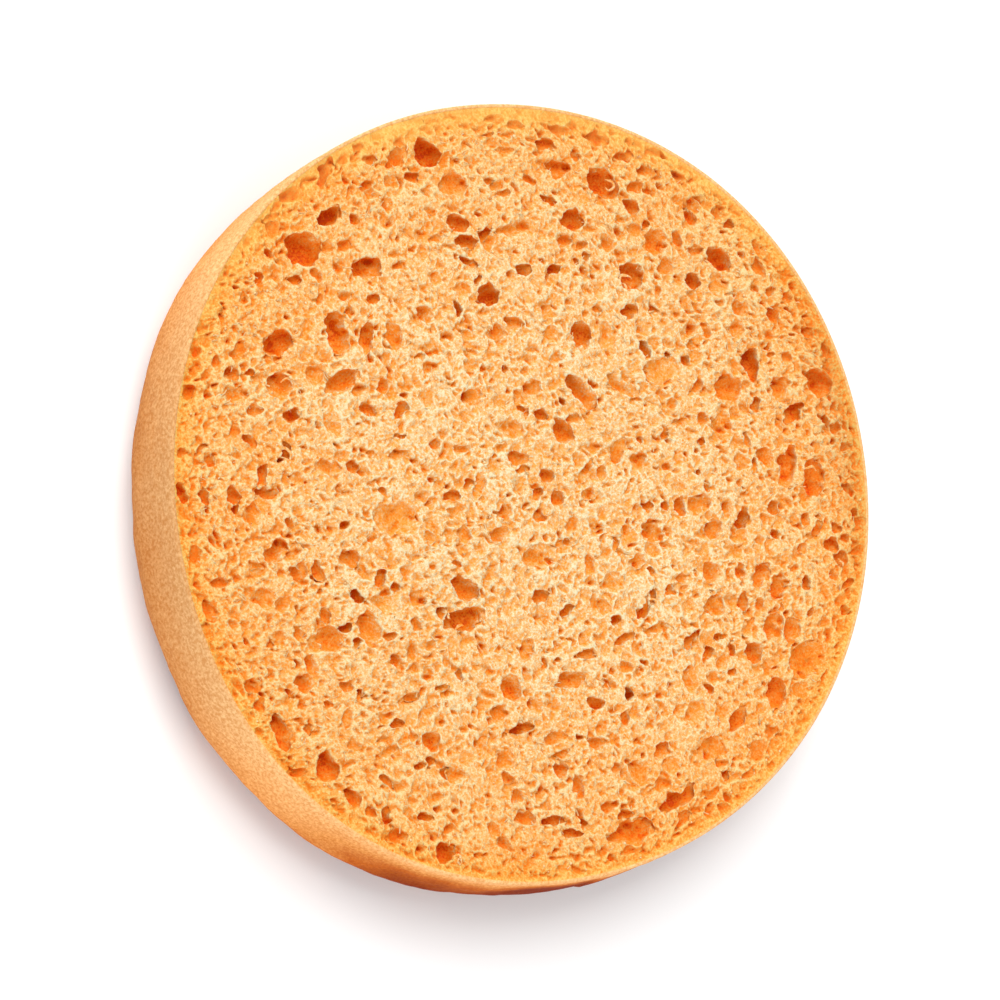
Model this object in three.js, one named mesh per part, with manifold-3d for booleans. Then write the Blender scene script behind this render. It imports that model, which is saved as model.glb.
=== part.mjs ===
// The bottom half (heel) of a round soft bread bun, cut across and lying cut face up.
// Millimetres, +Z up. The origin is under the middle of the bun, on the surface it lies on.
// The bun is one baked piece, so it is one closed solid: a browned side that bulges below
// the cut, a rounded lower edge, a flat base, and the largest gas pockets of the crumb.

import * as THREE from 'three';
import { mergeVertices } from 'three/addons/utils/BufferGeometryUtils.js';
import Module from 'manifold-3d';

// Driving dimensions
const HEIGHT = 14;                 // base to cut face
const FACE_RADIUS = 49.5;          // mean radius of the cut face
const FACE_CENTRE = [-0.4, 1.0];   // the cut face sits a little to one side of the belly
const BELLY_CENTRE = [1.1, -0.5];  // middle of the widest turn and of the base
const BELLY_DROP = 7.5;            // the widest turn lies this far below the cut
const BELLY_BULGE = 0.4;           // and stands out this far past the cut edge
const EDGE_ROUNDING = 6;           // how far the lower edge turns in before the flat base

// Slow waves that keep the outline from being a true circle: [turns, height, phase in degrees]
const FACE_WAVES = [[1, 0.3, -164], [2, 0.2, 66], [3, 0.2, -109], [4, 0.25, 170]];
const BELLY_WAVE = [2, 0.5, 132];

const AROUND = 84;                 // facets round the outline
const SIDE_STEPS = 3;              // rows from the cut edge down to the widest turn
const EDGE_STEPS = 4;              // rows round the lower edge
const POCKET_FACETS = [9, 6];      // round and top to bottom, on each gas pocket

// Largest gas pockets, on axes through the middle of the cut face:
// [x, y, length, width, turn of the length from +Y towards -X in degrees, depth]
const POCKETS = [
  [-44.3, -6.9, 3.4, 3.2, 0, 3.0], [-40.2, -4.2, 4.2, 3.4, 15, 1.4],
  [-38.2, -21.8, 3.4, 2.2, 15, 2.5], [-37.6, 17.2, 5.6, 3.6, -40, 2.6],
  [-35.1, -4.4, 3.2, 2.0, -25, 1.8], [-34.4, -25.9, 4.4, 4.0, 0, 3.0],
  [-33.6, 11.6, 3.4, 2.4, 0, 2.2], [-31.4, -17.9, 4.2, 2.4, 0, 2.0],
  [-29.4, 23.4, 3.6, 3.4, 0, 1.6], [-25.8, -2.0, 2.8, 2.8, 0, 2.6],
  [-25.8, 32.5, 3.6, 2.9, -25, 2.4], [-25.3, 19.0, 4.0, 3.6, 90, 2.4],
  [-23.9, -23.4, 5.4, 3.2, 90, 2.2], [-23.5, -31.4, 3.9, 2.8, 20, 2.2],
  [-23.4, 27.8, 2.8, 1.8, -60, 2.2], [-19.0, 10.0, 3.6, 3.0, 90, 2.4],
  [-17.6, -24.2, 5.2, 2.6, 15, 1.8], [-11.6, 8.6, 5.6, 2.4, -50, 2.0],
  [-11.5, 34.6, 4.2, 2.4, 85, 2.6], [-9.1, 30.2, 4.4, 4.0, 0, 1.9],
  [-7.8, 38.4, 3.6, 3.0, 90, 1.6], [-7.6, 44.6, 4.4, 3.6, -35, 2.0],
  [-6.9, 4.9, 3.8, 2.6, -60, 2.0], [-4.2, 28.4, 4.2, 3.4, 90, 1.1],
  [-0.1, -20.3, 6.0, 4.4, -15, 1.1], [1.1, -36.7, 3.2, 2.4, 35, 1.6],
  [2.7, 37.2, 5.4, 2.8, 60, 2.0], [4.9, 40.9, 5.4, 3.2, 80, 2.2],
  [7.8, 15.3, 4.0, 3.0, -50, 1.4], [7.9, -1.8, 5.6, 3.0, 0, 1.1],
  [8.2, 28.8, 2.6, 2.2, 90, 2.4], [10.0, -12.8, 4.0, 2.4, -35, 2.0],
  [12.7, -26.6, 4.2, 2.8, -85, 1.5], [12.9, -31.9, 3.2, 3.2, 0, 1.4],
  [13.6, -13.6, 5.6, 3.0, 0, 2.4], [22.5, -40.3, 4.4, 1.9, -75, 1.8],
  [23.1, 30.2, 3.8, 2.4, 65, 1.8], [23.2, -9.1, 3.4, 2.4, 85, 1.7],
  [23.8, 33.1, 3.4, 2.4, 45, 1.7], [24.0, -0.7, 4.4, 1.8, -5, 1.6],
  [25.6, 26.6, 3.2, 2.4, 5, 2.0], [27.9, -35.2, 3.8, 3.2, 90, 2.2],
  [27.9, 34.9, 6.6, 5.0, 25, 1.4], [31.5, 28.8, 3.8, 3.0, 60, 2.0],
  [32.0, -32.8, 3.0, 1.7, -65, 1.5], [33.8, 22.4, 4.0, 2.2, 25, 1.6],
  [36.7, 17.6, 5.2, 3.6, 0, 1.2], [41.3, -21.9, 2.8, 2.4, -20, 2.2],
  [41.9, 11.4, 6.2, 2.0, 20, 2.0], [44.5, 3.9, 7.2, 2.8, 0, 1.8],
];

const wasm = await Module();
wasm.setup();

const radians = THREE.MathUtils.degToRad;

function wave([turns, height, phase], angle) {
  return height * Math.cos(turns * angle - radians(phase));
}

// Profile of the side: [how far out past the cut edge, height, share of the belly's own
// centre and wave], from the cut edge down to the flat base.
function sideProfile() {
  const rows = [];
  for (let i = 0; i <= SIDE_STEPS; i++) {
    const share = i / SIDE_STEPS;
    const out = BELLY_BULGE * Math.sin(share * Math.PI / 2);
    rows.push([out, HEIGHT - BELLY_DROP * share, share]);
  }
  for (let i = 1; i <= EDGE_STEPS; i++) {
    const turn = (i / EDGE_STEPS) * Math.PI / 2;
    const out = BELLY_BULGE - EDGE_ROUNDING * (1 - Math.cos(turn));
    rows.push([out, (HEIGHT - BELLY_DROP) * (1 - Math.sin(turn)), 1]);
  }
  return rows;
}

function sidePoint([out, z, share], angle) {
  const face = FACE_WAVES.reduce((sum, w) => sum + wave(w, angle), FACE_RADIUS);
  const radius = face + out + share * wave(BELLY_WAVE, angle);
  const [x, y] = [0, 1].map((i) => THREE.MathUtils.lerp(FACE_CENTRE[i], BELLY_CENTRE[i], share));
  return [x + radius * Math.cos(angle), y + radius * Math.sin(angle), z];
}

// Closed solid of the uncut bun half: rings down the side, with a fan over each end.
function bodyGeometry() {
  const rows = sideProfile();
  const positions = [];
  for (const row of rows) {
    for (let k = 0; k < AROUND; k++) positions.push(...sidePoint(row, (k / AROUND) * 2 * Math.PI));
  }
  const faceMiddle = rows.length * AROUND;
  const baseMiddle = faceMiddle + 1;
  positions.push(...FACE_CENTRE, HEIGHT, ...BELLY_CENTRE, 0);

  const index = [];
  const lastRing = (rows.length - 1) * AROUND;
  for (let k = 0; k < AROUND; k++) {
    const next = (k + 1) % AROUND;
    for (let ring = 0; ring < lastRing; ring += AROUND) {
      index.push(ring + k, ring + AROUND + k, ring + AROUND + next);
      index.push(ring + k, ring + AROUND + next, ring + next);
    }
    index.push(faceMiddle, k, next);
    index.push(baseMiddle, lastRing + next, lastRing + k);
  }
  const geometry = new THREE.BufferGeometry();
  geometry.setAttribute('position', new THREE.Float32BufferAttribute(positions, 3));
  geometry.setIndex(index);
  return geometry;
}

// A gas pocket is an egg-shaped hollow whose middle lies on the cut.
function pocketGeometry([x, y, length, width, turn, depth]) {
  const geometry = new THREE.SphereGeometry(1, ...POCKET_FACETS);
  geometry.rotateX(Math.PI / 2);
  geometry.scale(width / 2, length / 2, depth);
  geometry.rotateZ(radians(turn));
  geometry.translate(FACE_CENTRE[0] + x, FACE_CENTRE[1] + y, HEIGHT);
  return geometry;
}

function toSolid(geometry) {
  const bare = geometry.clone();
  bare.deleteAttribute('normal');
  bare.deleteAttribute('uv');
  const merged = mergeVertices(bare, 1e-5);
  return new wasm.Manifold(new wasm.Mesh({
    numProp: 3,
    vertProperties: new Float32Array(merged.attributes.position.array),
    triVerts: new Uint32Array(merged.index.array),
  }));
}

function toGeometry(solid) {
  const mesh = solid.getMesh();
  const geometry = new THREE.BufferGeometry();
  geometry.setAttribute('position', new THREE.BufferAttribute(mesh.vertProperties, 3));
  geometry.setIndex(new THREE.BufferAttribute(mesh.triVerts, 1));
  geometry.computeVertexNormals();
  return geometry;
}

const crumbAndCrust = new THREE.MeshStandardMaterial({
  color: 0xf0c08c, roughness: 0.85, metalness: 0,
});

let solid = toSolid(bodyGeometry());
for (const pocket of POCKETS) solid = solid.subtract(toSolid(pocketGeometry(pocket)));

const bunHalf = new THREE.Mesh(toGeometry(solid), crumbAndCrust);
bunHalf.name = 'bun_half';

const bun = new THREE.Group();
bun.add(bunHalf);

export default bun;
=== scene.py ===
"""The bottom half of a round soft bun, lying cut face up: open crumb inside a thin tan crust.

Lengths are in millimetres while a shape is worked out, and in metres once it is a mesh.
The cut face is a fine sheet whose gas cells are sunk in it, level by level: the large
pockets, listed one by one, then bubbles, small cells and pinholes that follow a rule.
"""
import math

import bpy
import numpy as np
from mathutils import Matrix, Vector


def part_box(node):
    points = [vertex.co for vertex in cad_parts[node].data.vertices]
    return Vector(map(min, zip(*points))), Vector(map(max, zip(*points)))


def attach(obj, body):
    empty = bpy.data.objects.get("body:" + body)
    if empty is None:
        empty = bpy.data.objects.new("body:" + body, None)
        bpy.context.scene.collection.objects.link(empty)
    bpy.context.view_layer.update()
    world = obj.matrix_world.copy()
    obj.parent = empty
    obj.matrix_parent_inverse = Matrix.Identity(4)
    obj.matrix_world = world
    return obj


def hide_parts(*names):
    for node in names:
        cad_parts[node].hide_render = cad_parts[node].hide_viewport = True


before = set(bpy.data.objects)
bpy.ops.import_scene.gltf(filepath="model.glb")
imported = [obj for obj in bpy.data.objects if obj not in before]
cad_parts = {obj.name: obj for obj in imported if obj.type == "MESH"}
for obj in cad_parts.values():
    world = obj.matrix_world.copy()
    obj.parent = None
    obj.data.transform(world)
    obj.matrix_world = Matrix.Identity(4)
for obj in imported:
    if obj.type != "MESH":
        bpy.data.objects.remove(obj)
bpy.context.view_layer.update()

MM = 0.001
NODE = "bun_half"
BODY = "root"

# ---------- driving dimensions
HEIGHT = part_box(NODE)[1][2] / MM  # base to cut face
FACE_RADIUS = 49.5                # mean radius of the cut face
FACE_CENTRE = (-0.4, 1.0)         # the cut sits a little to one side of the belly
BELLY_CENTRE = (1.1, -0.5)
BELLY_DROP = 7.5                  # the widest turn lies this far below the cut
BELLY_BULGE = 0.4
EDGE_ROUNDING = 6.0               # how far the lower edge turns in
FACE_WAVES = ((1, 0.3, -164), (2, 0.2, 66), (3, 0.2, -109), (4, 0.25, 170))
BELLY_WAVE = (2, 0.5, 132)

FACE_GRID = 600                   # points each way in the sheet of the cut face
SKIN = 0.5                        # thickness of the crust where the cut shows it

# Large pockets of the crumb, on axes through the middle of the cut face:
# (x, y, length, width, turn of the length from +Y towards -X in degrees, depth)
POCKETS = (
    # far edge
    (-48.3, -7.6, 2.4, 1, 0, 0.7), (-47.6, 3, 3.2, 1.2, -10, 0.8), (-47.1, -13.5, 1.6, 1, 20, 0.7),
    (-47.1, 11.3, 2.2, 1.1, -10, 0.7), (-46.6, 6.1, 2.4, 1, -10, 0.8), (-46, -16.4, 1.8, 1.2, 20, 0.8),
    (-45.7, 2, 1.6, 0.6, 0, 0.8), (-45.2, 12.4, 3.6, 1.4, -15, 0.9), (-44.4, -14.8, 2, 1, 0, 0.8),
    (-44.3, -6.9, 3.4, 3.2, 0, 3), (-44.2, -11.4, 3.8, 1.5, 40, 1.2), (-43.7, 9.9, 3, 1.4, -25, 1.4),
    (-43.6, 17.7, 3.4, 1.8, -20, 1.2), (-43.5, -21.3, 4.5, 1.6, 60, 1.3), (-43.5, 4.1, 1.6, 1, 0, 0.7),
    (-42.6, 22.4, 1.6, 0.8, -20, 0.6), (-41.6, -9.6, 1.8, 1.4, 20, 1.3), (-41.4, -16, 2.2, 1.4, 25, 1.1),
    (-41.4, 13.6, 1.6, 1.2, -45, 1), (-41.3, -26.3, 3.8, 1.8, 5, 1), (-41.3, -12.6, 2, 1.1, 0, 0.7),
    (-40.9, 21.3, 3, 1.4, -15, 1.1), (-40.7, 26.3, 3, 1.2, -25, 0.8), (-40.2, -4.2, 4.2, 3.4, 15, 1.4),
    (-40.2, 11.3, 3.4, 2.2, -10, 1.6), (-40, 1.1, 1.8, 0.8, 0, 0.8), (-39.3, 6.5, 1.8, 1.2, -40, 1),
    (-38.8, -29.2, 2, 0.9, 15, 0.7), (-38.5, -31.3, 1.4, 0.9, 0, 0.7), (-38.5, 24.1, 3, 1.2, -15, 0.8),
    (-38.2, -21.8, 3.4, 2.2, 15, 2.5), (-38.2, 2.9, 1.5, 0.8, 0, 0.9), (-37.6, 17.2, 5.6, 3.6, -40, 2.6),
    (-37.3, -29, 2.5, 1.8, -30, 0.8), (-37.3, -18.6, 1.3, 1.3, 0, 1.2), (-37.3, 28.8, 2.2, 1.2, -45, 1),
    (-36.9, 22, 2.2, 1.8, 60, 1.1), (-36.7, 8.9, 2.2, 1.1, -20, 1.1), (-36.2, 23.6, 1.2, 0.8, 90, 1),
    (-35.1, -4.4, 3.2, 2, -25, 1.8),
    # far half
    (-34.8, -30.5, 1.4, 1.2, 0, 1), (-34.4, -25.9, 4.4, 4, 0, 3), (-34.4, -22.8, 2, 1.5, 0, 0.8),
    (-34.3, -20.3, 2.2, 1.6, 0, 1.1), (-34.3, 20.9, 2.6, 1.8, -25, 1.6), (-34.2, 31.3, 2.2, 0.9, 0, 0.7),
    (-33.7, -7.8, 1.8, 1.1, 0, 0.7), (-33.6, 11.6, 3.4, 2.4, 0, 2.2), (-33.4, -0.9, 2, 1.2, 15, 1.6),
    (-33.4, 3.8, 6, 2.2, 0, 0.8), (-33.2, 29.8, 2.8, 1.8, 0, 0.7), (-32.8, 19, 2, 1, 0, 0.7),
    (-32.6, -3.9, 3.6, 1.6, 5, 1.6), (-32.3, 33.6, 2.4, 1.6, 0, 1), (-31.9, 22.5, 1.2, 1.2, 0, 1.2),
    (-31.9, 29.1, 2.6, 1.8, 70, 1.3), (-31.7, -21.7, 1.3, 1.3, 0, 0.8), (-31.4, -32.3, 1.8, 1.2, 90, 1.1),
    (-31.4, -17.9, 4.2, 2.4, 0, 2), (-31, -27.6, 1.5, 1, 0, 1), (-31, -24.6, 1.8, 1.8, 0, 0.8),
    (-31, 20.7, 2, 2, 0, 0.9), (-30.9, 10.4, 1.8, 1.6, 0, 1.3), (-30.7, -13.4, 1.8, 1, 0, 1),
    (-30.3, 35.2, 1.8, 1.2, -25, 1.2), (-30.2, 12.4, 1, 1, 0, 1), (-30.1, -3.7, 3, 1.2, -20, 1.2),
    (-29.6, 16.5, 2.2, 2, 0, 1), (-29.4, 23.4, 3.6, 3.4, 0, 1.6), (-29.4, 26.6, 1.6, 1.5, -30, 1.3),
    (-28.7, 13.1, 1.4, 1, 0, 1), (-28.4, -24.8, 2.2, 1, 50, 0.9), (-28.4, 3.6, 2.4, 1.5, -15, 1.6),
    (-28.3, 11.5, 1, 0.8, 90, 0.9), (-28.2, -21.6, 1.8, 1.2, 0, 0.8), (-27.8, -38, 1.8, 1, 90, 0.8),
    (-27.6, -3.2, 1.3, 0.9, 40, 1.4), (-27.6, 1.5, 1.8, 1.3, 60, 0.7), (-27.6, 29, 1.8, 1, 0, 0.9),
    (-27.5, 7.9, 2.2, 1.4, 10, 1.6), (-27.4, -18, 1.8, 1, 0, 1.1), (-27, -40.7, 2, 1.4, 60, 0.8),
    (-26.6, 38.8, 2.8, 1.4, -60, 0.8), (-26.2, -21.4, 1.3, 0.8, 0, 0.9), (-26, 24.3, 2.4, 2.2, 90, 1.1),
    (-25.8, -2, 2.8, 2.8, 0, 2.6), (-25.8, 32.5, 3.6, 2.9, -25, 2.4), (-25.3, 19, 4, 3.6, 90, 2.4),
    (-24.6, -6.6, 1.6, 1.1, 90, 1.4), (-24.4, -42.3, 2.6, 1.6, 70, 0.8), (-24.3, -11, 2, 1.6, 0, 1),
    (-24, 38.3, 3.4, 1.1, -75, 1), (-23.9, -23.4, 5.4, 3.2, 90, 2.2), (-23.5, -31.4, 3.9, 2.8, 20, 2.2),
    (-23.4, -36.5, 2.6, 1.8, 20, 0.9), (-23.4, 27.8, 2.8, 1.8, -60, 2.2), (-22.7, 22.2, 1.6, 1, 90, 0.7),
    (-22.6, 31.6, 3.4, 2.6, 90, 0.7), (-22.6, 42.7, 1.4, 1.2, 90, 0.7), (-22.5, -40, 1.6, 1.3, 90, 0.9),
    (-22.5, 5.9, 2.4, 2.2, 90, 0.8), (-22.4, -19.8, 4.2, 2, 75, 1.6), (-22.3, -15.9, 3.2, 2.8, 90, 1.3),
    (-21.9, 13.1, 1.5, 1.2, -40, 0.9), (-21.6, 0.9, 2, 1.2, -30, 1), (-21.4, 27.5, 1.8, 1.4, 0, 0.7),
    (-21.2, -6.2, 1.8, 1.4, 0, 0.7), (-21, -38, 1.8, 1.2, 90, 1), (-20.9, 17.6, 2.4, 1.8, 0, 1.8),
    (-20.8, 21.4, 2.2, 0.9, -40, 1), (-20.8, 39.6, 1.2, 1, 90, 0.9), (-20.7, -35.6, 1.2, 1.1, 0, 1.1),
    (-20.7, -1.4, 2.6, 1.6, 0, 1.1), (-19.6, 5.4, 2.6, 2.2, 0, 0.9), (-19.6, 42, 1.8, 1.6, -45, 1),
    (-19.3, -44, 2, 1.4, 60, 1.2), (-19.3, -12.8, 1.5, 0.7, 20, 0.9), (-19.2, -27.6, 3, 2, 20, 0.9),
    (-19.2, 34.3, 2.6, 2.4, 0, 1.2), (-19, 10, 3.6, 3, 90, 2.4), (-18.6, -32.3, 3.4, 2.8, 0, 1.4),
    (-18, -38, 2.8, 2, 0, 0.9), (-17.6, -24.2, 5.2, 2.6, 15, 1.8), (-17.6, 39.3, 2.8, 2.6, 90, 1.6),
    (-17.5, 13.6, 4.6, 2.8, 90, 0.7),
    # middle
    (-16.8, 28.6, 1.6, 1.6, 0, 1), (-16.6, -18.7, 2.8, 1.8, 20, 1.2), (-16.4, 33.4, 2.4, 2.2, 0, 0.9),
    (-16, -35.9, 1.6, 1.2, 0, 1), (-16, -1.9, 1.2, 1, 90, 1.1), (-15.8, 19, 2.2, 1.5, -70, 2),
    (-15.3, 26.1, 1.3, 1, 90, 1), (-14.8, -31.6, 2.2, 1.8, 30, 1.6), (-14.6, 22.1, 1.1, 0.9, 0, 1.2),
    (-14.6, 44, 2.2, 1.6, -60, 1.2), (-14, -21.2, 2.2, 1.4, 0, 1.3), (-13.7, -39.3, 2.2, 1.2, 70, 0.9),
    (-13.4, 24.9, 1.6, 1.3, 90, 1.6), (-13.2, -6.9, 3.4, 1.8, -10, 1.3), (-13.2, 1.6, 3.2, 2.2, 15, 1.1),
    (-13, -17.3, 2.4, 1.6, 25, 1.4), (-12.6, -43.6, 1.8, 0.9, 40, 0.9), (-12.6, 20.8, 5.2, 4, 0, 0.8),
    (-12.5, -37.5, 2.2, 1.4, -60, 1.2), (-12.5, 37.7, 1.3, 1, 0, 0.9), (-12.4, -26.3, 2.8, 2.4, 0, 0.5),
    (-12.3, -46, 1.2, 1.2, 0, 0.9), (-11.6, 8.6, 5.6, 2.4, -50, 2), (-11.6, 14.9, 5.6, 1.6, -40, 0.9),
    (-11.6, 40.2, 1.6, 1.4, 90, 0.9), (-11.6, 46.5, 2.4, 1.2, -75, 1), (-11.5, 34.6, 4.2, 2.4, 85, 2.6),
    (-10.9, -42.9, 1.6, 1.2, 30, 1), (-10.9, -33, 1.8, 1.4, 90, 1.6), (-10.9, 4.7, 0.6, 0.4, 0, 0.9),
    (-10.9, 5.7, 1, 0.9, 0, 1.8), (-10.7, -0.1, 2, 1, -30, 1), (-10.1, 2.2, 1.5, 1.3, 90, 1.6),
    (-10.1, 25.9, 2.2, 1.6, 15, 1.2), (-9.8, -34.1, 1.2, 0.6, 0, 1.4), (-9.8, -18, 2, 0.6, 0, 0.9),
    (-9.1, 30.2, 4.4, 4, 0, 1.9), (-8.7, -21.9, 1.8, 1.2, 0, 0.7), (-8.5, -2.3, 3.6, 2.6, -15, 0.9),
    (-8.4, -13.4, 1.5, 1.4, 0, 1), (-8.3, 21.6, 1.6, 1, 0, 0.8), (-8.2, 6.5, 1.8, 1, 0, 1),
    (-8, -36.6, 3.2, 1.6, 65, 1.4), (-7.8, -47, 3, 1.8, 90, 1.3), (-7.8, -28, 3.4, 1.4, -15, 0.7),
    (-7.8, 38.4, 3.6, 3, 90, 1.6), (-7.6, -18.2, 2.6, 1.6, 0, 0.9), (-7.6, 44.6, 4.4, 3.6, -35, 2),
    (-7.3, -33.7, 2, 1.4, 90, 0.8), (-7.1, -44.5, 2.6, 1.4, 90, 1.2), (-7.1, -9.6, 1.6, 1, 0, 0.8),
    (-7, -31.9, 1.8, 1.8, 0, 0.6), (-7, -24.6, 1.8, 1.8, 0, 1.3), (-6.9, 4.9, 3.8, 2.6, -60, 2),
    (-6.5, -41, 1.8, 1.7, 90, 1.5), (-6, -36.4, 2.6, 1.6, -10, 1.5), (-6, 33.8, 1.8, 1.4, 60, 1.4),
    (-5.6, -5.1, 0.7, 0.6, 0, 1.1), (-5.5, 22, 2.4, 1.2, 0, 0.7), (-5.3, 25.4, 2.2, 2, 0, 1.1),
    (-4.8, -1.9, 3.4, 1.6, -10, 1.4), (-4.7, 19.3, 1.8, 1.2, 90, 1), (-4.6, -40.7, 1.5, 1.2, 60, 1.3),
    (-4.2, 28.4, 4.2, 3.4, 90, 1.1), (-4.2, 40, 3.2, 2, 40, 2), (-4.1, 15.9, 1.3, 0.9, 0, 1.2),
    (-3.8, -21.4, 1.4, 1, 0, 0.8), (-3.7, -38.8, 3, 1.5, 80, 0.9), (-3.5, 12.2, 3.8, 1.5, 45, 1.1),
    (-3.4, -13.7, 2, 1.6, 0, 0.6), (-3.3, -1.9, 2, 0.9, 0, 1), (-3, 37.3, 1.6, 1.4, 90, 0.9),
    (-2.9, -9.8, 1.2, 1, 0, 1.2), (-2.8, 44.3, 1.8, 1.2, 90, 1.2), (-2.6, 24.6, 1.3, 1.2, 0, 1.2),
    (-2.3, -16.4, 2.2, 2.2, 0, 0.7), (-2, -34.4, 1.6, 1, 90, 1), (-1.9, 1.3, 2.2, 2.2, 0, 1.7),
    (-1.9, 31.5, 2.2, 0.9, -80, 1), (-1.6, -12.1, 2.4, 1.4, 0, 1.2), (-1.6, -8.4, 3.6, 1.6, 50, 0.8),
    (-1.6, 7, 3.4, 1, 50, 0.7), (-1.6, 15, 3, 2.6, 30, 1.2), (-1.2, 45.4, 2, 1.6, 60, 1),
    (-1, 9.1, 1.5, 1.3, 0, 0.9), (-0.7, -27.1, 1.2, 1.2, 0, 1), (-0.2, -46.9, 2.4, 1.6, 60, 1),
    (-0.1, -20.3, 6, 4.4, -15, 1.1), (-0.1, -0.5, 1.8, 1.1, 70, 1.4), (0.1, -12.1, 2.4, 1.2, 0, 0.7),
    (0.8, 34, 2.4, 2.2, 0, 1.2), (1.1, -36.7, 3.2, 2.4, 35, 1.6), (1.1, 2.5, 2, 1.8, 90, 1.4),
    (1.3, 7, 2.2, 1.8, 0, 0.8), (1.3, 23.4, 1, 1, 0, 1.3), (1.5, -24.3, 1.6, 1.4, 0, 0.5),
    (1.6, -5.7, 2.2, 1.8, 0, 1), (1.6, 46.6, 1.4, 1.2, 0, 0.8), (1.8, 32, 2.4, 0.8, 90, 0.9),
    (2.1, -39.2, 2, 1, 0, 0.7), (2.7, 37.2, 5.4, 2.8, 60, 2), (2.9, -0.7, 1.6, 1.6, 0, 1.1),
    (3.1, -16.4, 1.8, 1.6, 90, 0.7), (3.3, -44.4, 2, 1.4, 0, 1), (3.3, 24.4, 1.6, 0.8, 90, 0.8),
    (3.4, -11.4, 2.4, 2, 90, 0.9), (3.6, -27.2, 2.6, 2.2, 15, 1.4), (4, -34.2, 2.4, 1.8, 90, 1.4),
    (4.1, -6.6, 2.8, 1.6, 0, 1), (4.1, 14.9, 1.6, 1.2, 0, 1.4), (4.3, -31.7, 2.6, 1.2, -80, 1.2),
    (4.5, 17.5, 1.4, 1, 90, 1.2), (4.6, 3.6, 2, 1.8, 0, 1), (4.9, 40.9, 5.4, 3.2, 80, 2.2),
    (5.2, 19.9, 2.4, 1.9, 90, 1.6), (5.2, 22.7, 3, 2.6, 0, 1.2), (6.4, -46.4, 2.6, 1.6, 90, 1.2),
    (6.4, -39.6, 3.6, 2.4, -15, 0.7), (6.6, -24.1, 2.2, 1.3, 40, 1.3), (6.6, 2.7, 1.2, 1, 0, 1.1),
    (6.8, -13.4, 1.2, 1.2, 0, 1), (6.8, 26.6, 2.2, 1.3, 90, 0.8), (7.2, -32.3, 1, 0.9, 0, 0.9),
    (7.2, 7.7, 1.2, 1, 90, 0.9), (7.3, -37, 2.4, 1.6, 25, 0.7), (7.4, 46, 2, 1.2, -60, 1),
    (7.6, 11.5, 3.4, 2.6, 90, 0.7), (7.7, 33.8, 2.4, 2, 0, 1.6), (7.8, 15.3, 4, 3, -50, 1.4),
    (7.9, -1.8, 5.6, 3, 0, 1.1), (8.2, -27.5, 2, 1.6, 60, 2), (8.2, -21.9, 1.4, 1.3, 0, 1.2),
    (8.2, 28.8, 2.6, 2.2, 90, 2.4), (8.6, -35.5, 1.2, 0.5, 90, 1.2), (8.6, 9.3, 2.2, 0.9, 80, 0.9),
    (8.8, -8.7, 2.2, 1.8, 0, 0.8), (9, -47.2, 2.4, 1.1, 90, 0.8), (9, 24.1, 2.8, 2.4, 40, 1.5),
    (9.9, -31.7, 2.2, 1.2, -70, 1.2), (9.9, -23.7, 4.4, 2.6, -20, 0.7), (10, -12.8, 4, 2.4, -35, 2),
    (10, 38.4, 2, 1.6, -40, 0.8), (10.2, -19.6, 2.8, 2.4, 90, 0.9), (10.3, 4.9, 2.8, 1.9, 90, 1.1),
    (10.6, 46.1, 2, 1, 70, 0.9), (10.7, -42.6, 1.1, 0.9, 90, 1.3), (11.1, 12, 2.8, 2, 0, 0.9),
    (11.1, 33.4, 1.6, 1.4, 50, 1), (11.3, -35.8, 1.6, 1.6, 0, 0.9), (11.6, 39.7, 2.2, 1.2, 35, 1.1),
    (11.7, -39.3, 1.2, 1, 90, 1), (11.9, -29.6, 1.9, 1.2, -15, 1.8), (12, 42.7, 1.6, 1.3, 45, 1.1),
    (12, 46.6, 2.4, 1.4, 60, 0.8), (12.5, -16.4, 1.6, 1.2, 30, 1.1), (12.7, -26.6, 4.2, 2.8, -85, 1.5),
    (12.7, 14, 1, 0.7, 0, 1), (12.9, -31.9, 3.2, 3.2, 0, 1.4), (13, -2.8, 2.6, 1.5, -10, 1.7),
    (13.1, -20.3, 1.6, 0.9, 90, 1), (13.2, 8, 3.8, 3, 0, 0.8), (13.6, -13.6, 5.6, 3, 0, 2.4),
    (13.6, 44, 1.4, 1.3, 0, 1), (13.7, -28.5, 1.6, 1, 90, 1), (13.8, 37.2, 1.8, 1.2, 60, 0.9),
    (13.9, 41.5, 2.2, 1.5, 0, 1.5), (14.1, -24.2, 1.4, 1, 0, 1), (14.3, 18.1, 1.8, 1.5, 0, 1),
    (14.3, 22.5, 2.6, 2.4, 0, 1.4), (14.9, 26.8, 2.2, 1.2, 90, 1.1), (15, 25.2, 1.6, 1, 90, 0.8),
    (15.1, 0.9, 2.2, 1.2, 20, 1.3), (15.2, -34.8, 2.6, 1.8, -60, 1), (15.4, 15.8, 1.6, 1.6, 0, 1.2),
    (15.6, 5.8, 1.8, 1.2, 90, 0.8), (15.6, 45.6, 2, 1.6, 0, 0.9), (15.8, 30, 4.2, 2.2, 45, 1.6),
    (15.9, -18.4, 2, 1.2, 0, 0.7), (15.9, 13.4, 2.4, 1.4, 60, 1.3), (15.9, 42.5, 2.4, 2.4, 20, 1.5),
    (16.3, -42.8, 2.4, 1.8, -40, 1.1), (16.6, -21.2, 2, 1.2, 70, 0.9), (16.9, 11.7, 3.2, 1.2, 60, 1.6),
    # near half
    (17.2, -36.2, 2.4, 2, 90, 1.3), (17.4, -23.5, 2.2, 1.6, 90, 1.1), (17.7, 7.4, 1.8, 1.4, 0, 1.2),
    (17.7, 41.3, 1.6, 1.4, 90, 1), (17.9, 32.3, 3.8, 2.6, 50, 1.8), (18.2, -38.4, 1.6, 1, -60, 1.2),
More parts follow.
